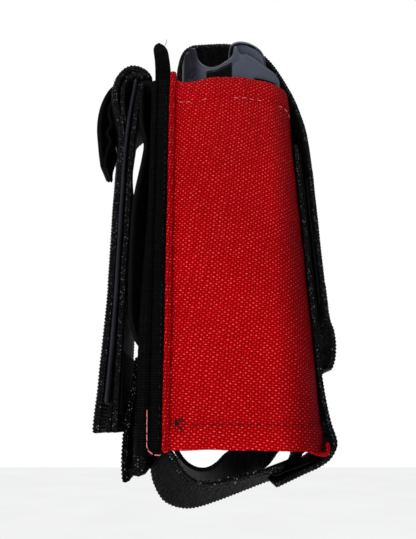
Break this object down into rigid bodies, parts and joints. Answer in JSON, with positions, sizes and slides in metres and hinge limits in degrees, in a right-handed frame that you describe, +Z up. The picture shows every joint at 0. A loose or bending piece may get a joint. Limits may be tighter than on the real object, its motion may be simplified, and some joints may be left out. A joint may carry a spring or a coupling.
{
  "type": "belt pouch fire blanket",
  "caption": "Red nylon belt pouch with a strap closure, a belt loop at the back and a slide-in moulded cartridge that holds a folded fire blanket.",
  "frame": {"origin": "middle of the belt channel, between the back panel's rear face and the keeper strap, halfway across the pouch", "axes": "+Z up along the sleeve, -Y towards the closure flap at the front, +Y towards the belt side, X across the pouch"},
  "size_m": [0.06, 0.1007, 0.1855],
  "materials": {
    "nylon_red": "plain weave nylon, coated",
    "nylon_black": "plain weave nylon",
    "lining_black": "smooth lining cloth",
    "binding_tape": "grosgrain tape",
    "webbing_black": "woven webbing",
    "webbing_ribbed": "ribbed woven webbing",
    "loop_pile": "soft loop pile",
    "hook_tape": "moulded hook tape",
    "thread_black": "bonded thread",
    "stiffener_grey": "smooth sheet",
    "stiffener_plastic": "smooth sheet",
    "case_plastic": "fine moulded texture",
    "case_plastic_dark": "fine moulded texture",
    "label_black": "printed film, blank",
    "glass_cloth": "plain weave glass cloth"
  },
  "bodies": {
    "pouch": {"back_panel_lining": "lining_black", "back_stiffener": "stiffener_plastic", "back_panel_cover": "nylon_black", "edge_binding_left": "binding_tape", "edge_binding_right": "binding_tape", "sleeve": "nylon_red", "sleeve_top_hem": "nylon_red", "sleeve_bottom_hem": "nylon_red", "front_webbing": "webbing_black", "front_loop_patch": "loop_pile", "riser_strap": "webbing_black", "riser_bar_tacks": "thread_black", "bottom_sling": "webbing_ribbed", "sling_liner": "webbing_black", "rear_tab": "webbing_ribbed", "keeper_strap": "loop_pile", "keeper_bar_tacks": "thread_black"},
    "belt_loop": {"loop_outer_web": "webbing_ribbed", "loop_stiffener": "stiffener_grey", "loop_inner_web": "webbing_black", "loop_hook_patch": "hook_tape"},
    "loop_tab": {"loop_pull_tab": "webbing_black"},
    "flap_shoulder": {"flap_top": "webbing_ribbed"},
    "flap_drop": {"flap_front": "webbing_ribbed", "flap_hook_patch": "hook_tape"},
    "flap_end": {"flap_tip": "webbing_ribbed"},
    "tail": {"tail_strap": "webbing_ribbed", "tail_hook_patch": "hook_tape"},
    "cartridge": {"case_shell_left": "case_plastic", "case_shell_right": "case_plastic", "case_yoke": "case_plastic_dark", "case_bottom_plug": "case_plastic_dark", "case_label": "label_black", "blanket_pack": "glass_cloth", "pull_tapes": "webbing_black"}
  },
  "joints": [
    {"name": "flap_open", "type": "hinge", "parent": "pouch", "child": "flap_shoulder", "pos_m": [0, -0.0168, 0.0833], "axis": [-1, 0, 0], "range_deg": [0, 135]},
    {"name": "flap_bend", "type": "hinge", "parent": "flap_shoulder", "child": "flap_drop", "pos_m": [0, -0.0491, 0.0767], "axis": [-1, 0, 0], "range_deg": [0, 65]},
    {"name": "tip_peel", "type": "hinge", "parent": "flap_drop", "child": "flap_end", "pos_m": [0, -0.0696, -0.0354], "axis": [-1, 0, 0], "range_deg": [0, 60]},
    {"name": "cartridge_lift", "type": "slide", "parent": "pouch", "child": "cartridge", "axis": [0, 0, 1], "range_m": [0, 0.0494]},
    {"name": "tail_open", "type": "hinge", "parent": "pouch", "child": "tail", "pos_m": [0, -0.0668, -0.0842], "axis": [-1, 0, 0], "range_deg": [0, 110]},
    {"name": "loop_open", "type": "hinge", "parent": "pouch", "child": "belt_loop", "pos_m": [0, 0, 0.0666], "axis": [1, 0, 0], "range_deg": [0, 95]},
    {"name": "tab_flex", "type": "hinge", "parent": "belt_loop", "child": "loop_tab", "pos_m": [0, 0.0163, 0.06], "axis": [1, 0, 0], "range_deg": [0, 36]}
  ],
  "couplings": [
    {"joint": "flap_open", "follows": "cartridge_lift", "rad_per_m": 47.619},
    {"joint": "flap_bend", "follows": "cartridge_lift", "rad_per_m": 22.924}
  ]
}
